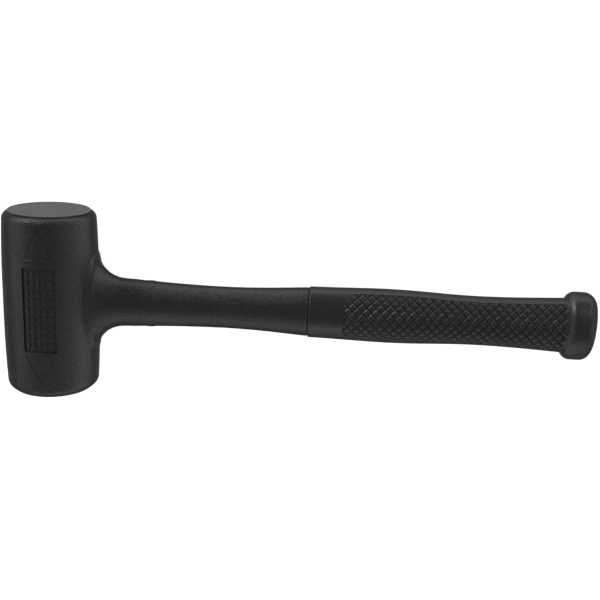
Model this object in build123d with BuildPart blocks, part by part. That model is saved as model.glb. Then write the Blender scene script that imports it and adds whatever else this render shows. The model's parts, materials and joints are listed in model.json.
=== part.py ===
from build123d import *

import math
import os

os.makedirs("parts", exist_ok=True)

# Dead blow mallet, lying on its side on the XY plane. All sizes are in millimetres.
#
# The mallet's own frame, LYING, has its origin at the middle of the head: local x runs along the
# handle towards the butt, local y along the head from one striking face to the other, and local z
# up out of the side that carries the label panel.

# Head: a barrel of cast urethane
head_radius = 25.4  # at the middle of the barrel
head_half_length = 49.25
belly_half_length = 10.0  # straight band around the middle, which the mallet rests on
barrel_fall = 0.042  # share of the radius that the barrel loses towards each end
face_radius = 21.5  # flat striking disc
face_step = 0.5  # how far the disc stands above the rounded edge around it
edge_round = 3.8  # height of the rounded edge

# Flare: the neck widens along the head in a round sweep that ends square on the barrel, while its
# thickness only grows as a cone, so that it meets the barrel in a curved crease on the label side
flare_radius = 15.0
flare_side = 25.05  # the barrel's radius where the sweep ends
flare_neck_half_height = 13.35  # of the neck, where the sweep starts
flare_angles = (90, 78, 66, 54, 41, 27, 12)  # degrees left of the sweep
flare_foot_distances = (17.0, 21.0, flare_side)  # between the head's axis and the sweep
flare_foot_slope = 2.5  # how fast the flare's half height goes on growing there
cone_front_stations = ((flare_foot_distances[0], 16.4), (20.3, 15.3), (23, 14.4), (26, 13.4))
cone_stations = (*cone_front_stations, (30, 12.35), (35, 11.3), (40, 10.55))

# Handle: an oval tube, each station is (distance from the head's axis, half height)
flatness = 0.76  # half thickness over half height
parting = 140.0  # where the grip is moulded on behind the neck
parting_bevel = 0.5
flare_end_stations = ((46, 13.1), (52, 12.77), (57, 12.5))
neck_stations = (flare_end_stations[-1], (66, 12.1), (75, 11.8), (95, 11.55), (118, 12.25), (parting, 13.6))
grip_front_stations = ((parting, 14.15), (158, 14.5), (180, 15.0), (198, 14.75))
grip_stations = (*grip_front_stations, (222, 13.8), (238, 13.7), (262, 14.45), (283, 15.5))

# Butt knob
knob_half_height = 18.95
knob_half_thickness = 14.6
knob_start = 278.9
knob_bevel_start = 291.4
knob_end = 295.5
knob_front_round = 5.0
rim_half_height = 14.9
rim_half_thickness = 8.5

# Label panel and its relief, on the barrel's local +z side
label_centre = 1.1  # of the panel and all the relief, from the head's axis towards the butt
panel_width = 16.8
panel_low, panel_high = -22.8, 22.9
panel_depth = 0.7
above_barrel = 1.0  # how far the tools that sink the relief stand clear of the barrel
relief_root = 0.3  # how deep raised relief is rooted in the casting
bar_columns, bar_rows = 5, 9
bar_size = (3.7, 1.6)  # each bar lies along the head
bar_spacing = (3.1, 4.85)
bar_height = 0.45
bead_rise, bead_sag, bead_gap = 0.5, 1.9, 2.7
bead_half_length = 7.7
bead_width = 1.0
bead_round = 0.35
chevron_depth = 0.2
chevron_width = 0.7
chevron_marks = ((6.4, 28.4, 43.5), (7.3, -25.4, -39.2))  # half width, feet and tip along the head

# Steel canister that holds the shot
canister_radius = 19.0
canister_wall = 1.5
canister_half_length = 39.0
cap_height = 6.0

# Shot
ball_radius = 3.0
ball_pitch = 6.1
shot_layers = 9
bore_clearance = 0.35

# Core of the handle
rod_radius = 5.0
socket_radius = 7.5
socket_end = 46.0
rod_start = 22.0
pin_radius = 2.0
pin_place = 36.0
pin_half_length = 6.8
pin_chamfer = 0.4
tail_radius = 4.0
tail_chamfer = 0.8
shoulder_place = 281.5
tail_end = 291.0
washer_radius, washer_bore, washer_thickness = 10.5, 4.2, 2.0
nut_flats, nut_height = 13.0, 6.5

# The mallet rests on its barrel and on the side of its knob, so the handle dips towards the butt.
reach = math.hypot(knob_bevel_start, knob_half_thickness)
dip = math.degrees(math.asin(head_radius / reach) - math.atan2(knob_half_thickness, knob_bevel_start))
handle_dir = Vector(1, 0, 0).rotate(Axis.Y, dip)
up_dir = Vector(0, 0, 1).rotate(Axis.Y, dip)
middle_of_box = (knob_end * handle_dir.X - head_radius) / 2
LYING = Plane(origin=(-middle_of_box, 0, head_radius), x_dir=handle_dir, z_dir=up_dir)
head_axis = Axis(LYING.origin, LYING.y_dir)
handle_axis = Axis(LYING.origin, LYING.x_dir)
label_axis = Axis(LYING.origin, LYING.z_dir)
LABEL = Plane(origin=LYING.from_local_coords((label_centre, 0, 0)), x_dir=handle_dir, z_dir=up_dir)


def across_handle(distance):
    """Plane square to the handle: its x is the head's direction, its y is up out of the label side."""
    return Plane(LYING.from_local_coords((distance, 0, 0)), x_dir=LYING.y_dir, z_dir=LYING.x_dir)


def across_head(distance):
    """Plane square to the head's axis, facing the left striking face."""
    return Plane(LYING.from_local_coords((0, distance, 0)), x_dir=LYING.x_dir, z_dir=LYING.y_dir)


def barrel(offset):
    """The barrel's body, with its curved side moved out by offset."""
    edge_top = head_half_length - face_step
    side_half_length = edge_top - edge_round
    side_end_radius = head_radius * (1 - barrel_fall * (side_half_length / head_half_length) ** 2)
    belly_end = (-head_radius - offset, belly_half_length)
    side_end = (-side_end_radius - offset, side_half_length)
    with BuildPart() as body:
        with BuildSketch(LYING):
            with BuildLine():
                Line((-head_radius - offset, 0), belly_end)
                side = TangentArc(belly_end, side_end, tangent=(0, 1))
                edge = TangentArc(side_end, (-face_radius, edge_top), tangent=side % 1)
                Polyline(edge @ 1, (-face_radius, head_half_length), (0, head_half_length), (0, 0))
                mirror(about=Plane.XZ)
            make_face()
        revolve(axis=head_axis)
    return body.part


def between_offsets(low, high, outline):
    """The layer of the barrel's label side under a flat outline, between two offsets of its surface."""
    outside = barrel(high)
    inside = barrel(low)
    with BuildPart() as layer:
        add(outline())
        extrude(amount=2 * head_radius)
        add(outside, mode=Mode.INTERSECT)
        add(inside, mode=Mode.SUBTRACT)
    return layer.part


def panel_outline():
    with BuildSketch(LABEL) as outline:
        with Locations((0, (panel_low + panel_high) / 2)):
            Rectangle(panel_width, panel_high - panel_low)
    return outline.sketch


def bar_outline():
    with BuildSketch(LABEL) as outline:
        with Locations((0, (panel_low + panel_high) / 2)):
            with GridLocations(*bar_spacing, bar_columns, bar_rows):
                SlotOverall(*bar_size, rotation=90)
    return outline.sketch


def bead_outline():
    base = panel_high + bead_gap
    with BuildSketch(LABEL) as outline:
        with BuildLine():
            ThreePointArc((-bead_half_length, base), (0, base + bead_sag), (bead_half_length, base))
        trace(line_width=bead_width)
    return outline.sketch


def chevron_outline():
    with BuildSketch(LABEL) as outline:
        for half, feet, tip in chevron_marks:
            with BuildLine():
                Polyline((-half, feet), (0, tip), (half, feet))
            trace(line_width=chevron_width)
    return outline.sketch


def oval_loft(stations):
    """Smooth tube through ovals given as distance, half height and half thickness."""
    with BuildPart() as tube:
        for distance, half_height, half_thickness in stations:
            with BuildSketch(across_handle(distance)):
                Ellipse(half_height, half_thickness)
        loft()
    return tube.part


def with_thickness(stations):
    """Adds the handle's half thickness to stations of distance and half height."""
    return [(distance, half_height, half_height * flatness) for distance, half_height in stations]


def cone_half_thickness(distance):
    """Half thickness of the flare, straight between its stations."""
    for (near, near_thickness), (far, far_thickness) in zip(cone_stations, cone_stations[1:]):
        if distance <= far:
            break
    share = (distance - near) / (far - near)
    return near_thickness + share * (far_thickness - near_thickness)


def flare_station(angle):
    """Distance, half height and half thickness of the flare with so many degrees of its sweep left."""
    turned = math.radians(angle)
    distance = flare_side + flare_radius * (1 - math.sin(turned))
    half_height = flare_neck_half_height + flare_radius * (1 - math.cos(turned))
    return distance, half_height, cone_half_thickness(distance)


def foot_station(distance):
    """Distance, half height and half thickness of the flare between the head's axis and its sweep."""
    half_height = flare_neck_half_height + flare_radius + flare_foot_slope * (flare_side - distance)
    return distance, half_height, cone_half_thickness(distance)


# Everything steel that the urethane is cast around, as solid envelopes
with BuildPart() as canister_envelope:
    with BuildSketch(across_head(-canister_half_length)):
        Circle(canister_radius)
    extrude(amount=2 * canister_half_length)
    for place in (-canister_half_length, canister_half_length - cap_height + canister_wall):
        with BuildSketch(across_head(place)):
            Circle(canister_radius - 2 * canister_wall)
        extrude(amount=cap_height - canister_wall, mode=Mode.SUBTRACT)

with BuildPart() as socket_envelope:
    with BuildSketch(across_handle(0)):
        Circle(socket_radius)
    extrude(amount=socket_end)

with BuildPart() as rod_envelope:
    with BuildSketch(across_handle(rod_start)):
        Circle(rod_radius)
    extrude(amount=shoulder_place - rod_start)

# The head and the neck are one casting
sweep_stations = [flare_station(angle) for angle in flare_angles]
neck = oval_loft(with_thickness(neck_stations))
flare = oval_loft(sweep_stations + with_thickness(flare_end_stations))
flare_foot = oval_loft([foot_station(distance) for distance in flare_foot_distances])
panel = between_offsets(-panel_depth, above_barrel, panel_outline)
bars = between_offsets(-panel_depth - relief_root, -panel_depth + bar_height, bar_outline)
square_bead = between_offsets(-relief_root, bead_rise, bead_outline)
chevrons = between_offsets(-chevron_depth, above_barrel, chevron_outline)

with BuildPart() as bead:
    add(square_bead)
    bead_top = bead.faces().sort_by(label_axis)[-1]
    fillet(bead_top.edges(), radius=bead_round)

with BuildPart() as head_casing:
    add(barrel(0))
    add(neck)
    add(flare)
    add(flare_foot)
    neck_end = head_casing.faces().sort_by(handle_axis)[-1]
    chamfer(neck_end.edges(), length=parting_bevel)
    add(canister_envelope.part, mode=Mode.SUBTRACT)
    add(socket_envelope.part, mode=Mode.SUBTRACT)
    add(rod_envelope.part, mode=Mode.SUBTRACT)
    add(panel, mode=Mode.SUBTRACT)
    add(bars)
    add(bead.part)
    add(chevrons, mode=Mode.SUBTRACT)
head_casing.part.label = "head_casing"
export_step(head_casing.part, "parts/head_casing.step")

# Grip with its collar and butt knob, one casting
grip = oval_loft(with_thickness(grip_stations))
with BuildPart() as grip_sleeve:
    with BuildSketch(across_handle(knob_start)):
        Ellipse(knob_half_height, knob_half_thickness)
    extrude(amount=knob_bevel_start - knob_start)
    knob_front = grip_sleeve.faces().sort_by(handle_axis)[0]
    fillet(knob_front.edges(), radius=knob_front_round)
    with BuildSketch(across_handle(knob_bevel_start)):
        Ellipse(knob_half_height, knob_half_thickness)
    with BuildSketch(across_handle(knob_end)):
        Ellipse(rim_half_height, rim_half_thickness)
    loft()
    add(grip)
    collar_face = grip_sleeve.faces().sort_by(handle_axis)[0]
    chamfer(collar_face.edges(), length=parting_bevel)
    add(rod_envelope.part, mode=Mode.SUBTRACT)
    with BuildSketch(across_handle(shoulder_place)):
        Circle(tail_radius)
    extrude(amount=tail_end - shoulder_place, mode=Mode.SUBTRACT)
    with BuildSketch(across_handle(shoulder_place)):
        Circle(washer_radius)
    extrude(amount=washer_thickness, mode=Mode.SUBTRACT)
    with BuildSketch(across_handle(shoulder_place + washer_thickness)):
        RegularPolygon(nut_flats / 2, 6, major_radius=False)
    extrude(amount=nut_height, mode=Mode.SUBTRACT)
grip_sleeve.part.label = "grip_sleeve"
export_step(grip_sleeve.part, "parts/grip_sleeve.step")

# Canister: a tube with a dished cap pressed into each end
with BuildPart() as canister_tube:
    with BuildSketch(across_head(-canister_half_length)):
        Circle(canister_radius)
        Circle(canister_radius - canister_wall, mode=Mode.SUBTRACT)
    extrude(amount=2 * canister_half_length)
canister_tube.part.label = "canister_tube"
export_step(canister_tube.part, "parts/canister_tube.step")


def dished_cap(mouth, inward):
    """Pressed cup whose rim is flush with the canister's mouth; inward is +1 or -1 along the head."""
    bore = canister_radius - canister_wall
    with BuildPart() as cap:
        with BuildSketch(across_head(mouth)):
            Circle(bore)
        extrude(amount=inward * cap_height)
        with BuildSketch(across_head(mouth)):
            Circle(bore - canister_wall)
        extrude(amount=inward * (cap_height - canister_wall), mode=Mode.SUBTRACT)
    return cap.part


with BuildPart() as canister_cap_left:
    add(dished_cap(canister_half_length, -1))
canister_cap_left.part.label = "canister_cap_left"
export_step(canister_cap_left.part, "parts/canister_cap_left.step")

with BuildPart() as canister_cap_right:
    add(dished_cap(-canister_half_length, 1))
canister_cap_right.part.label = "canister_cap_right"
export_step(canister_cap_right.part, "parts/canister_cap_right.step")

# Shot: balls in close-packed layers across the canister, every second layer in the hollows
layer_spacing = ball_pitch * math.sqrt(2 / 3)
hollow_shift = ball_pitch / math.sqrt(3)
row_spacing = ball_pitch * math.sqrt(3) / 2
centre_limit = canister_radius - canister_wall - ball_radius - bore_clearance
lattice_reach = math.ceil(canister_radius / row_spacing)
lattice_steps = range(-lattice_reach, lattice_reach + 1)


def layer_centres(layer):
    """Centres of the balls in one layer, as many as the canister's bore takes."""
    plane = across_head((layer - (shot_layers - 1) / 2) * layer_spacing)
    shift = hollow_shift if layer % 2 else 0
    grid = [
        ((i + j / 2) * ball_pitch, j * row_spacing + shift) for i in lattice_steps for j in lattice_steps
    ]
    return [plane.from_local_coords((x, y, 0)) for x, y in grid if math.hypot(x, y) <= centre_limit]


ball_centres = [centre for layer in range(shot_layers) for centre in layer_centres(layer)]
with BuildPart() as shot_charge:
    with Locations(*ball_centres):
        Sphere(ball_radius)
shot_charge.part.label = "shot_charge"
export_step(shot_charge.part, "parts/shot_charge.step")

# Core of the handle: socket welded to the canister, rod pinned into it, washer and nut on its tail
with BuildPart() as core_socket:
    add(socket_envelope.part)
    with BuildSketch(across_head(-canister_half_length)):
        Circle(canister_radius)
    extrude(amount=2 * canister_half_length, mode=Mode.SUBTRACT)
    add(rod_envelope.part, mode=Mode.SUBTRACT)
    with BuildSketch(across_head(-socket_radius)):
        with Locations((pin_place, 0)):
            Circle(pin_radius)
    extrude(amount=2 * socket_radius, mode=Mode.SUBTRACT)
core_socket.part.label = "core_socket"
export_step(core_socket.part, "parts/core_socket.step")

with BuildPart() as core_rod:
    add(rod_envelope.part)
    with BuildSketch(across_handle(shoulder_place)):
        Circle(tail_radius)
    extrude(amount=tail_end - shoulder_place)
    with BuildSketch(across_head(-socket_radius)):
        with Locations((pin_place, 0)):
            Circle(pin_radius)
    extrude(amount=2 * socket_radius, mode=Mode.SUBTRACT)
    tail_rim = core_rod.faces().sort_by(handle_axis)[-1].edges()
    chamfer(tail_rim, length=tail_chamfer)
core_rod.part.label = "core_rod"
export_step(core_rod.part, "parts/core_rod.step")

with BuildPart() as socket_pin:
    with BuildSketch(across_head(-pin_half_length)):
        with Locations((pin_place, 0)):
            Circle(pin_radius)
    extrude(amount=2 * pin_half_length)
    chamfer(socket_pin.edges().filter_by(GeomType.CIRCLE), length=pin_chamfer)
socket_pin.part.label = "socket_pin"
export_step(socket_pin.part, "parts/socket_pin.step")

with BuildPart() as anchor_washer:
    with BuildSketch(across_handle(shoulder_place)):
        Circle(washer_radius)
        Circle(washer_bore, mode=Mode.SUBTRACT)
    extrude(amount=washer_thickness)
anchor_washer.part.label = "anchor_washer"
export_step(anchor_washer.part, "parts/anchor_washer.step")

with BuildPart() as anchor_nut:
    with BuildSketch(across_handle(shoulder_place + washer_thickness)):
        RegularPolygon(nut_flats / 2, 6, major_radius=False)
        Circle(tail_radius, mode=Mode.SUBTRACT)
    extrude(amount=nut_height)
anchor_nut.part.label = "anchor_nut"
export_step(anchor_nut.part, "parts/anchor_nut.step")
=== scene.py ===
import json
import math

import bpy
import numpy as np
from mathutils import Matrix, Vector


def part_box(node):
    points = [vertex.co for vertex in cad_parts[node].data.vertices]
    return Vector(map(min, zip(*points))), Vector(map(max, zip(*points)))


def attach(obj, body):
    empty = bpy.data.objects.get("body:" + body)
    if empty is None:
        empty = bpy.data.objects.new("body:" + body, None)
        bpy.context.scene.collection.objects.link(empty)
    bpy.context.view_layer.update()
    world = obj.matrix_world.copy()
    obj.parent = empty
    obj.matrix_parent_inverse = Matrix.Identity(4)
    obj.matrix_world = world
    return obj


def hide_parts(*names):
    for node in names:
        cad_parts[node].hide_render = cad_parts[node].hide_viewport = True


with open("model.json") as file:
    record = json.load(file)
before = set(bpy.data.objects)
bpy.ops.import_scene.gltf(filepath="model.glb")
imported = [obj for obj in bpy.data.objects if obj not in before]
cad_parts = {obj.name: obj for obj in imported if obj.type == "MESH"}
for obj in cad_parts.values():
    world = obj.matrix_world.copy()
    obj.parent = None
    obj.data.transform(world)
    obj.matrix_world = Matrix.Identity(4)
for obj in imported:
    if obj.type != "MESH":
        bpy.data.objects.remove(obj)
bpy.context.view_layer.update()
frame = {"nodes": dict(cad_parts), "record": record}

MM = 0.001

# ---------------------------------------------------------------- the mallet's own frame
# Its origin is the middle of the head. Local x runs down the handle, local y along the head
# from the right striking face to the left one, local z up out of the label side.
mounts = {mount["name"]: Vector(mount["pos_m"]) for mount in frame["record"]["mounts"]}
head_middle = (mounts["striking_face_left"] + mounts["striking_face_right"]) / 2
nut_low, nut_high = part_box("anchor_nut")
along_handle = ((nut_low + nut_high) / 2 - head_middle).normalized()
along_head = Vector((0, 1, 0))
out_of_label = along_handle.cross(along_head)
LOCAL = Matrix((along_handle, along_head, out_of_label)).transposed()


def place(x, y, z):
    """World position, in metres, of a point given in the mallet's frame in millimetres."""
    return head_middle + LOCAL @ (Vector((x, y, z)) * MM)


def place_all(points):
    """The same for an array of points."""
    return np.array(head_middle) + (points * MM) @ np.array(LOCAL).T


# ---------------------------------------------------------------- camera
CAMERA_AT = (135.2, 143.5, 459.9)
CAMERA_PITCH = math.radians(16.6)  # from square on to the label side, towards the left face
CAMERA_ROLL = math.radians(3.03)
CAMERA_LENS = 52.96


def add_camera():
    data = bpy.data.cameras.new("camera")
    data.lens = CAMERA_LENS
    data.sensor_width = 36
    camera = bpy.data.objects.new("camera", data)
    bpy.context.scene.collection.objects.link(camera)
    right, up = Vector((1, 0, 0)), Vector((0, math.cos(CAMERA_PITCH), -math.sin(CAMERA_PITCH)))
    back = Vector((0, math.sin(CAMERA_PITCH), math.cos(CAMERA_PITCH)))
    turned_right = right * math.cos(CAMERA_ROLL) + up * math.sin(CAMERA_ROLL)
    turned_up = up * math.cos(CAMERA_ROLL) - right * math.sin(CAMERA_ROLL)
    turn = LOCAL @ Matrix((turned_right, turned_up, back)).transposed()
    camera.matrix_world = Matrix.Translation(place(*CAMERA_AT)) @ turn.to_4x4()
    bpy.context.scene.camera = camera


# ---------------------------------------------------------------- materials
def new_material(name):
    """A new material, its node tree and its shader."""
    material = bpy.data.materials.new(name)
    material.use_nodes = True
    tree = material.node_tree
    shader = tree.nodes["Principled BSDF"]
    return material, tree, shader


def add_noise(tree, scale, detail=2.0, roughness=0.5):
    """Noise in the object's own coordinates, scale in features per metre."""
    coordinates = tree.nodes.new("ShaderNodeTexCoord")
    noise = tree.nodes.new("ShaderNodeTexNoise")
    noise.inputs["Scale"].default_value = scale
    noise.inputs["Detail"].default_value = detail
    noise.inputs["Roughness"].default_value = roughness
    tree.links.new(coordinates.outputs["Object"], noise.inputs["Vector"])
    return noise


def add_ramp(tree, source, low, high):
    """Maps a 0 to 1 value between two grey levels or colours, given as (position, colour)."""
    ramp = tree.nodes.new("ShaderNodeValToRGB")
    for element, (position, colour) in zip(ramp.color_ramp.elements, (low, high)):
        element.position = position
        element.color = (*colour, 1)
    tree.links.new(source, ramp.inputs["Fac"])
    return ramp


def add_bump(tree, height, distance, strength, under=None):
    bump = tree.nodes.new("ShaderNodeBump")
    bump.inputs["Distance"].default_value = distance
    bump.inputs["Strength"].default_value = strength
    tree.links.new(height, bump.inputs["Height"])
    if under is not None:
        tree.links.new(under.outputs["Normal"], bump.inputs["Normal"])
    return bump


def add_math(tree, operation, *values):
    """Socket of a maths node whose inputs are other nodes' sockets or numbers."""
    node = tree.nodes.new("ShaderNodeMath")
    node.operation = operation
    for value, socket in zip(values, node.inputs):
        if isinstance(value, float):
            socket.default_value = value
        else:
            tree.links.new(value, socket)
    return node.outputs[0]


def add_mix(tree, factor, start, end):
    """Socket that is the start socket where the factor is 0 and the end number where it is 1."""
    mix = tree.nodes.new("ShaderNodeMix")
    tree.links.new(factor, mix.inputs["Factor"])
    tree.links.new(start, mix.inputs["A"])
    mix.inputs["B"].default_value = end
    return mix.outputs["Result"]


def grey(level):
    """A grey with a slight cast of blue."""
    return (level, level, level * 1.03)


CLOUDS_SCALE, WAVES_SCALE = 90, 160
WAVES_HEIGHT, WAVES_STRENGTH = 0.00025, 0.25
EDGE_SAMPLES = 6
FACE_ROUGHNESS, FACE_GLOSS = 0.6, 0.5  # of the burnished striking faces


def urethane(name, dark, light, grain_size, grain_strength, softening, burnished_at=None):
    """Satin cast urethane: softened edges, waves from the mould, a pebbled grain and a finer one.

    Beyond burnished_at, in metres along the head from its middle, is a burnished striking face.
    Towards the rims the surface is rougher and less glossy, as its pebbles shade each other.
    """
    material, tree, shader = new_material(name)
    clouds = add_noise(tree, CLOUDS_SCALE, 3)
    colour = add_ramp(tree, clouds.outputs["Fac"], (0.3, grey(dark)), (0.7, grey(light)))
    tree.links.new(colour.outputs["Color"], shader.inputs["Base Color"])
    pebbles = add_noise(tree, 1 / grain_size, 2, 0.6)
    sheen = tree.nodes.new("ShaderNodeLayerWeight")
    facing = add_ramp(tree, sheen.outputs["Facing"], (0.25, (0.3,) * 3), (0.6, (0.7,) * 3))
    speckle = add_ramp(tree, pebbles.outputs["Fac"], (0.3, (0.88,) * 3), (0.7, (1.12,) * 3))
    roughness = add_math(tree, "MULTIPLY", facing.outputs["Color"], speckle.outputs["Color"])
    fading = add_ramp(tree, sheen.outputs["Facing"], (0.2, (0.65,) * 3), (0.5, (0.1,) * 3))
    gloss = fading.outputs["Color"]
    if burnished_at is not None:
        coordinates = tree.nodes.new("ShaderNodeTexCoord")
        apart = tree.nodes.new("ShaderNodeSeparateXYZ")
        tree.links.new(coordinates.outputs["Object"], apart.inputs[0])
        from_middle = add_math(tree, "ABSOLUTE", apart.outputs["Y"])
        on_face = add_math(tree, "GREATER_THAN", from_middle, burnished_at)
        roughness = add_mix(tree, on_face, roughness, FACE_ROUGHNESS)
        gloss = add_mix(tree, on_face, gloss, FACE_GLOSS)
    tree.links.new(roughness, shader.inputs["Roughness"])
    tree.links.new(gloss, shader.inputs["Specular IOR Level"])
    edges = tree.nodes.new("ShaderNodeBevel")
    edges.samples = EDGE_SAMPLES
    edges.inputs["Radius"].default_value = softening
    waves = add_noise(tree, WAVES_SCALE, 2)
    wavy = add_bump(tree, waves.outputs["Fac"], WAVES_HEIGHT, WAVES_STRENGTH, under=edges)
    pebbled = add_bump(tree, pebbles.outputs["Fac"], grain_size / 2, grain_strength, under=wavy)
    grain = add_noise(tree, 3 / grain_size, 2, 0.6)
    grainy = add_bump(tree, grain.outputs["Fac"], grain_size / 5, grain_strength, under=pebbled)
    tree.links.new(grainy.outputs["Normal"], shader.inputs["Normal"])
    return material


TARNISH_SCALE, STREAKS_SCALE = 240, 2600
STREAKS_HEIGHT, STREAKS_STRENGTH = 0.00005, 0.3


def steel(name, level, roughness_low, roughness_high):
    """Turned or drawn steel with fine streaks and a little tarnish."""
    material, tree, shader = new_material(name)
    tarnish = add_noise(tree, TARNISH_SCALE, 4)
    colour = add_ramp(tree, tarnish.outputs["Fac"], (0.3, grey(level * 0.85)), (0.7, grey(level)))
    tree.links.new(colour.outputs["Color"], shader.inputs["Base Color"])
    streaks = add_noise(tree, STREAKS_SCALE, 3)
    roughness = add_ramp(
        tree, streaks.outputs["Fac"], (0.3, (roughness_low,) * 3), (0.7, (roughness_high,) * 3)
    )
    tree.links.new(roughness.outputs["Color"], shader.inputs["Roughness"])
    bump = add_bump(tree, streaks.outputs["Fac"], STREAKS_HEIGHT, STREAKS_STRENGTH)
    tree.links.new(bump.outputs["Normal"], shader.inputs["Normal"])
    shader.inputs["Metallic"].default_value = 1.0
    return material


def set_material(thing, material):
    thing.data.materials.clear()
    thing.data.materials.append(material)


# ---------------------------------------------------------------- grip
FLATNESS = 0.76  # half thickness over half height
GRIP_FRONT = 140.0
GRIP_BEVEL = 0.5
GRIP_OUTLINE = (  # distance down the handle and half height
    (GRIP_FRONT, 14.15), (158, 14.5), (180, 15.0), (198, 14.75),
    (222, 13.8), (238, 13.7), (262, 14.45), (283, 15.5),
)
KNOB_START, KNOB_BEVEL_START, KNOB_END = 278.9, 291.4, 295.5
KNOB_HALF_HEIGHT, KNOB_HALF_THICKNESS = 18.95, 14.6
KNOB_FRONT_ROUND = 5.0
RIM_HALF_HEIGHT, RIM_HALF_THICKNESS = 14.9, 8.5
KNOB_BEVEL_BLEND = 2.5
CORNER_BLEND = 0.35
FRONT_FACE_WIDTH = 1.5  # of the ring inside the front face's edge
SMOOTH_ANGLE = math.radians(38)
# Distance down the handle and radius of the bore that holds the rod, the washer and the nut
BORE = (
    (291.0, 0.0), (291.0, 4.0), (290.0, 4.0), (290.0, 7.6), (283.5, 7.6), (283.5, 10.5),
    (281.5, 10.5), (281.5, 5.0), (230.0, 5.0), (180.0, 5.0), (GRIP_FRONT, 5.0), (GRIP_FRONT, 8.0),
)

# Diamonds: two crossing families of V grooves, laid out from the line along the middle of the label
# side, up to a smooth strip along the spine and another along the belly
DIAMOND_LENGTH, DIAMOND_HEIGHT = 5.07, 5.6
CROSSING_X, CROSSING_ARC = 161.07, 1.4  # one place where two grooves cross
FIELD_FRONT, FIELD_BACK = 158.75, 278.4
STRIP_HALF_WIDTH = 5.8
CORNER_CUT = 4.6
FIELD_SINK = 0.05
GROOVE_DEPTH = 0.75
PAD_FLATNESS = 3.2  # how late the crowned pads fall away into their grooves
FIELD_EDGE = 0.4

# The sleeve's mesh: its columns follow the diamonds, then spread over the smooth strips
STEPS_PER_DIAMOND = 20
DIAMOND_COLUMNS = 54
QUARTER_COLUMNS = 70
MESH_HALF_HEIGHT = 14.5  # of the oval that the plain rings take their columns from


def spline(knots, x):
    """Natural cubic spline through the knots."""
    kx, ky = np.array(knots, float).T
    n = len(kx)
    h = np.diff(kx)
    a = np.eye(n)
    b = np.zeros(n)
    for i in range(1, n - 1):
        a[i, i - 1 : i + 2] = h[i - 1], 2 * (h[i - 1] + h[i]), h[i]
        b[i] = 6 * ((ky[i + 1] - ky[i]) / h[i] - (ky[i] - ky[i - 1]) / h[i - 1])
    m = np.linalg.solve(a, b)
    x = np.clip(x, kx[0], kx[-1])
    i = np.clip(np.searchsorted(kx, x) - 1, 0, n - 2)
    left, right = x - kx[i], kx[i + 1] - x
    return (
        m[i] * right**3 / (6 * h[i])
        + m[i + 1] * left**3 / (6 * h[i])
        + (ky[i] / h[i] - m[i] * h[i] / 6) * right
        + (ky[i + 1] / h[i] - m[i + 1] * h[i] / 6) * left
    )


def unit_quarter():
    """Angles from the label line to the spine of an oval 1 high each way, and their distances."""
    angle = np.linspace(0, math.pi / 2, 4001)
    speed = np.hypot(np.cos(angle), FLATNESS * np.sin(angle))
    arc = np.concatenate([[0], np.cumsum((speed[1:] + speed[:-1]) / 2 * angle[1])])
    return angle, arc


UNIT_ANGLES, UNIT_ARCS = unit_quarter()


def columns(half_height):
    """Angle from the spine and arc distance from the label line, positive above it, by column."""
    quarter = half_height * UNIT_ARCS[-1]
    even = np.arange(DIAMOND_COLUMNS) * DIAMOND_HEIGHT / STEPS_PER_DIAMOND
    spread = np.linspace(DIAMOND_COLUMNS * DIAMOND_HEIGHT / STEPS_PER_DIAMOND, quarter,
                         QUARTER_COLUMNS - DIAMOND_COLUMNS + 1)
    distances = np.concatenate([even, spread])
    column = np.arange(4 * QUARTER_COLUMNS)
    from_line = distances[np.abs(column % (2 * QUARTER_COLUMNS) - QUARTER_COLUMNS)]
    side = np.where(np.abs(column - 2 * QUARTER_COLUMNS) > QUARTER_COLUMNS, 1, -1)
    turned = np.interp(from_line / half_height, UNIT_ARCS, UNIT_ANGLES)
    label_side = column < 2 * QUARTER_COLUMNS
    angle = np.where(label_side, math.pi / 2 - side * turned, 3 * math.pi / 2 + side * turned)
    return angle, side * from_line


def diamond_depth(x, arc, quarter):
    """Depth of the moulded pattern at x along the handle and arc from the label line."""
    u = (x - CROSSING_X) / DIAMOND_LENGTH
    v = (arc - CROSSING_ARC) / DIAMOND_HEIGHT
    per_mm = math.hypot(1 / DIAMOND_LENGTH, 1 / DIAMOND_HEIGHT)
    groove = np.zeros(len(arc))
    for line in (u + v, u - v):
        to_middle = 2 * np.abs(line - np.round(line))
        groove = np.maximum(groove, (1 - to_middle) ** PAD_FLATNESS)
    side = quarter - STRIP_HALF_WIDTH - np.abs(arc)
    front, back = x - FIELD_FRONT, FIELD_BACK - x
    corner = (front / DIAMOND_LENGTH + side / DIAMOND_HEIGHT - CORNER_CUT / DIAMOND_LENGTH) / per_mm
    inside = np.minimum(np.minimum(side, corner), min(front, back))
    return (FIELD_SINK + GROOVE_DEPTH * groove) * np.clip(inside / FIELD_EDGE, 0, 1)


def knob_radii(x):
    """Half height and half thickness of the knob at x, below zero in front of it."""
    if x < KNOB_START:
        return -1.0, -1.0
    if x < KNOB_START + KNOB_FRONT_ROUND:
        back = KNOB_START + KNOB_FRONT_ROUND - x
        inset = KNOB_FRONT_ROUND - math.sqrt(KNOB_FRONT_ROUND**2 - back**2)
    else:
        inset = 0.0
    return KNOB_HALF_HEIGHT - inset, KNOB_HALF_THICKNESS - inset


def ellipse_radius(a, b, angle):
    """Distance from the middle to an ellipse in a direction."""
    return a * b / np.hypot(b * np.cos(angle), a * np.sin(angle))


def smooth_max(p, q, blend):
    """The larger of two values, rounded where they cross."""
    h = np.clip(0.5 + (p - q) / (2 * blend), 0, 1)
    return q + (p - q) * h + blend * h * (1 - h)


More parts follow.
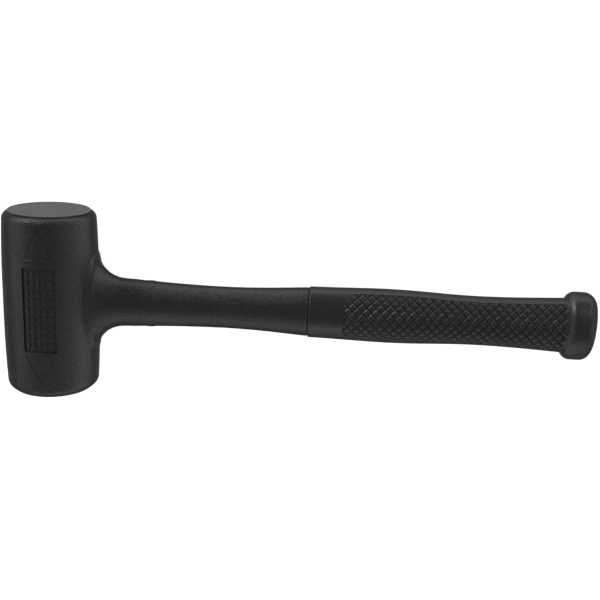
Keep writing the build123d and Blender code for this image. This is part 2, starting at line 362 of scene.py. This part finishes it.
def grip_rings():
    """Rings of the sleeve's points, from the bottom of its bore, out of its front, to its butt."""
    plain_angle = columns(MESH_HALF_HEIGHT)[0]

    def ring(x, a, b, angle=plain_angle):
        return np.stack([np.full(len(angle), x), a * np.cos(angle), b * np.sin(angle)], -1)

    rings = [ring(x, radius, radius) for x, radius in BORE]
    # Front face and collar
    front_height = float(spline(GRIP_OUTLINE, GRIP_FRONT)) - GRIP_BEVEL
    for half_height in (front_height - FRONT_FACE_WIDTH, front_height):
        rings.append(ring(GRIP_FRONT, half_height, half_height * FLATNESS))
    step = DIAMOND_LENGTH / STEPS_PER_DIAMOND
    start = CROSSING_X - step * math.floor((CROSSING_X - GRIP_FRONT - GRIP_BEVEL) / step)
    stations = start + step * np.arange(int((KNOB_START + KNOB_FRONT_ROUND - start) / step) + 1)
    in_field = (stations > FIELD_FRONT - 1) & (stations < FIELD_BACK + 1)
    near_knob = stations > KNOB_START - 1
    coarse = ~(in_field | near_knob) & (np.arange(len(stations)) % 3 != 0)
    for x in stations[~coarse]:
        half_height = float(spline(GRIP_OUTLINE, x))
        a, b = half_height, half_height * FLATNESS
        angle, arc = columns(half_height)
        body = ring(x, a, b, angle)
        outward = np.stack([b * np.cos(angle), a * np.sin(angle)], -1)
        outward /= np.hypot(*outward.T)[:, None]
        depth = diamond_depth(x, arc, half_height * UNIT_ARCS[-1])
        body[:, 1:] -= depth[:, None] * outward
        knob_a, knob_b = knob_radii(x)
        if knob_a > 0:
            direction = np.arctan2(body[:, 2], body[:, 1])
            own = np.hypot(body[:, 1], body[:, 2])
            knob = ellipse_radius(knob_a, knob_b, direction)
            reach = smooth_max(own, knob, CORNER_BLEND)
            body[:, 1:] *= (reach / own)[:, None]
        rings.append(body)
    for x in np.linspace(stations[-1] + 0.5, KNOB_BEVEL_START - KNOB_BEVEL_BLEND, 8)[:-1]:
        rings.append(ring(x, KNOB_HALF_HEIGHT, KNOB_HALF_THICKNESS))
    side = np.array([KNOB_BEVEL_START - KNOB_BEVEL_BLEND, KNOB_HALF_HEIGHT, KNOB_HALF_THICKNESS])
    crease = np.array([KNOB_BEVEL_START, KNOB_HALF_HEIGHT, KNOB_HALF_THICKNESS])
    rim = np.array([KNOB_END, RIM_HALF_HEIGHT, RIM_HALF_THICKNESS])
    butt = rim - np.array([0, KNOB_BEVEL_BLEND, KNOB_BEVEL_BLEND])
    bevel = (crease + rim) / 2
    for start, corner, end in ((side, crease, bevel), (bevel, rim, butt)):
        for t in np.linspace(0, 1, 13)[:-1]:
            rings.append(ring(*((1 - t) ** 2 * start + 2 * t * (1 - t) * corner + t**2 * end)))
    for share in (1.0, 0.9, 0.6, 0.3, 0.0):
        rings.append(ring(KNOB_END, butt[1] * share, butt[2] * share))
    return np.array(rings)


def grid_mesh(name, rings, split):
    """Closed mesh from rings of points whose first and last rings are single points.

    split says which of its two diagonals parts each cell between two rings.
    """
    rows, count = rings.shape[:2]
    points = np.concatenate([rings[0, :1], rings[1:-1].reshape(-1, 3), rings[-1, :1]])
    index = 1 + np.arange((rows - 2) * count).reshape(rows - 2, count)
    faces = []
    first, last = 0, len(points) - 1
    after = np.roll(np.arange(count), -1)
    for j in range(count):
        faces.append((first, index[0, j], index[0, after[j]]))
        faces.append((last, index[-1, after[j]], index[-1, j]))
    p, q = index[:-1], index[1:]
    p_next, q_next = p[:, after], q[:, after]
    other = split[..., None]
    one = np.where(other, np.stack([p, q, q_next], -1), np.stack([p, q, p_next], -1))
    two = np.where(other, np.stack([p, q_next, p_next], -1), np.stack([p_next, q, q_next], -1))
    triangles = np.concatenate([np.array(faces), one.reshape(-1, 3), two.reshape(-1, 3)])
    mesh = bpy.data.meshes.new(name)
    mesh.from_pydata(place_all(points).tolist(), [], triangles.tolist())
    mesh.validate()
    return mesh


def nearest_groove_split(rings):
    """For each cell of the grid, whether its diagonal follows the groove family nearest to it."""
    arc = columns(MESH_HALF_HEIGHT)[1]
    middle_arc = (arc + np.roll(arc, -1)) / 2
    middle_x = (rings[1:-2, 0, 0] + rings[2:-1, 0, 0]) / 2
    u = ((middle_x - CROSSING_X) / DIAMOND_LENGTH)[:, None]
    v = ((middle_arc - CROSSING_ARC) / DIAMOND_HEIGHT)[None]
    side = np.where(np.roll(arc, -1) < arc, 1, -1)  # the rear columns run the other way
    one, other = u + v * side, u - v * side
    return np.abs(one - np.round(one)) < np.abs(other - np.round(other))


def add_grip(material):
    """The detailed grip, which takes the place of the plain CAD sleeve."""
    rings = grip_rings()
    mesh = grid_mesh("grip", rings, nearest_groove_split(rings))
    mesh.shade_smooth()
    mesh.set_sharp_from_angle(angle=SMOOTH_ANGLE)
    grip = bpy.data.objects.new("grip", mesh)
    bpy.context.scene.collection.objects.link(grip)
    set_material(grip, material)
    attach(grip, "mallet")
    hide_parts("grip_sleeve")


# ---------------------------------------------------------------- stage and light
FLOOR_SIZE, FLOOR_ALBEDO, FLOOR_ROUGHNESS, FLOOR_GLOW = 8, 0.9, 0.9, 0.88
WORLD_STRENGTH = 0.18


def add_floor():
    """A plain white floor, bright enough to show no shadow, as in the photograph."""
    bpy.ops.mesh.primitive_plane_add(size=FLOOR_SIZE)
    floor = bpy.context.object
    floor.name = "floor"
    material, tree, shader = new_material("floor")
    shader.inputs["Base Color"].default_value = (FLOOR_ALBEDO, FLOOR_ALBEDO, FLOOR_ALBEDO, 1)
    shader.inputs["Roughness"].default_value = FLOOR_ROUGHNESS
    shader.inputs["Emission Color"].default_value = (1, 1, 1, 1)
    shader.inputs["Emission Strength"].default_value = FLOOR_GLOW
    set_material(floor, material)


def add_light(name, at, size, power):
    """A rectangular softbox, in metres and watts, that points at the scene's origin."""
    data = bpy.data.lights.new(name, "AREA")
    data.shape = "RECTANGLE"
    data.size, data.size_y = size
    data.energy = power
    light = bpy.data.objects.new(name, data)
    bpy.context.scene.collection.objects.link(light)
    light.location = at
    light.rotation_euler = (-Vector(at)).to_track_quat("-Z", "Y").to_euler()


def add_lights():
    add_light("back_right_softbox", (1.2, 1.15, 1.1), (0.6, 0.5), 2.6)
    add_light("back_left_softbox", (-1.1, 1.15, 0.34), (0.4, 0.3), 8)
    add_light("left_softbox", (-1.6, 0.1, 0.8), (2.0, 1.0), 3)
    add_light("right_softbox", (1.6, -0.2, 0.8), (1.6, 0.9), 1.5)
    add_light("near_softbox", (0.0, -1.6, 0.8), (2.4, 1.0), 6)
    world = bpy.data.worlds.new("world")
    bpy.context.scene.world = world
    world.use_nodes = True
    background = world.node_tree.nodes["Background"]
    background.inputs["Color"].default_value = (1, 1, 1, 1)
    background.inputs["Strength"].default_value = WORLD_STRENGTH
    bpy.context.scene.view_settings.view_transform = "Standard"


# ---------------------------------------------------------------- assembly
add_camera()
add_floor()
add_lights()
HEAD_SOFTENING, GRIP_SOFTENING = 0.3 * MM, 0.15 * MM
GRAIN_SIZE = 0.9 * MM
burnished_at = mounts["striking_face_left"].y - HEAD_SOFTENING
head_material = urethane("head_urethane", 0.014, 0.018, GRAIN_SIZE, 0.8, HEAD_SOFTENING, burnished_at)
grip_material = urethane("grip_urethane", 0.022, 0.027, GRAIN_SIZE, 0.35, GRIP_SOFTENING)
canister_material = steel("canister_steel", 0.50, 0.28, 0.42)
core_material = steel("core_steel", 0.46, 0.22, 0.36)
shot_material = steel("shot_steel", 0.38, 0.18, 0.34)
slot_materials = {
    "head_urethane": head_material,
    "grip_urethane": grip_material,
    "canister_steel": canister_material,
    "core_steel": core_material,
    "shot_steel": shot_material,
}
for subpart in frame["record"]["subparts"]:
    set_material(frame["nodes"][subpart["node"]], slot_materials[subpart["material_slot"]])
add_grip(grip_material)
